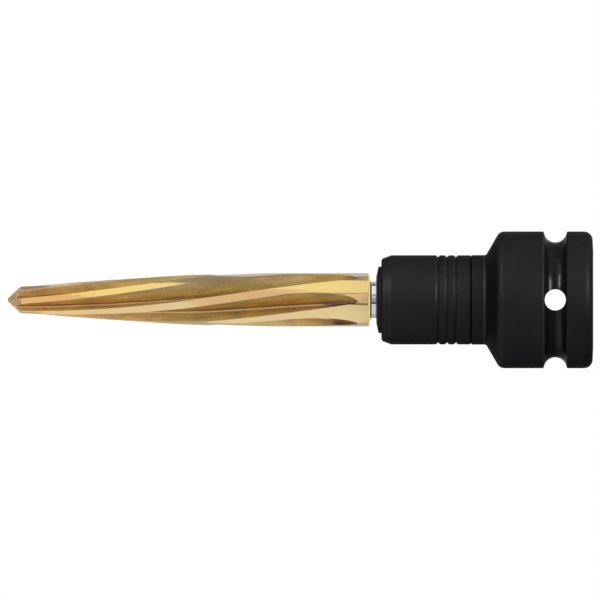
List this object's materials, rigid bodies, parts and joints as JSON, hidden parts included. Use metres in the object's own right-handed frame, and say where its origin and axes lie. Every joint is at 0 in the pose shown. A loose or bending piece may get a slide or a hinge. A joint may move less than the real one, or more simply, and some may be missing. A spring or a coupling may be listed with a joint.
{
  "type": "taper reamer in a quick-change impact adapter",
  "caption": "Spiral-fluted taper reamer on a hex shank, locked in a black impact adapter with a sliding sleeve, a square drive socket and a cross pin hole.",
  "frame": {"origin": "centre of the drive face, on which the tool stands", "axes": "+Z along the common axis from the drive face to the reamer's point, +Y along the cross pin hole"},
  "size_m": [0.044, 0.044, 0.1883],
  "materials": {
    "black_steel": "satin",
    "gold_coated_steel": "satin",
    "bright_steel": "polished",
    "spring_wire": "satin"
  },
  "bodies": {
    "adapter": {"adapter_body": "black_steel", "spring_washer": "bright_steel", "retaining_ring": "spring_wire", "sleeve_spring": "spring_wire", "reamer": "gold_coated_steel"},
    "sleeve": {"locking_sleeve": "black_steel"},
    "ball_1": {"locking_ball_1": "bright_steel"},
    "ball_2": {"locking_ball_2": "bright_steel"}
  },
  "joints": [
    {"name": "sleeve_slide", "type": "slide", "parent": "adapter", "child": "sleeve", "axis": [0, 0, 1], "range_m": [0, 0.004], "stiffness_N_per_m": 1500, "springref_m": -0.002, "deforming": ["sleeve_spring"]},
    {"name": "ball_1_slide", "type": "slide", "parent": "adapter", "child": "ball_1", "axis": [0.9848, -0.1736, 0], "range_m": [0, 0.0011]},
    {"name": "ball_2_slide", "type": "slide", "parent": "adapter", "child": "ball_2", "axis": [-0.9848, 0.1736, 0], "range_m": [0, 0.0011]}
  ],
  "couplings": [
    {"joint": "ball_1_slide", "follows": "sleeve_slide", "ratio": 0.275},
    {"joint": "ball_2_slide", "follows": "sleeve_slide", "ratio": 0.275}
  ]
}
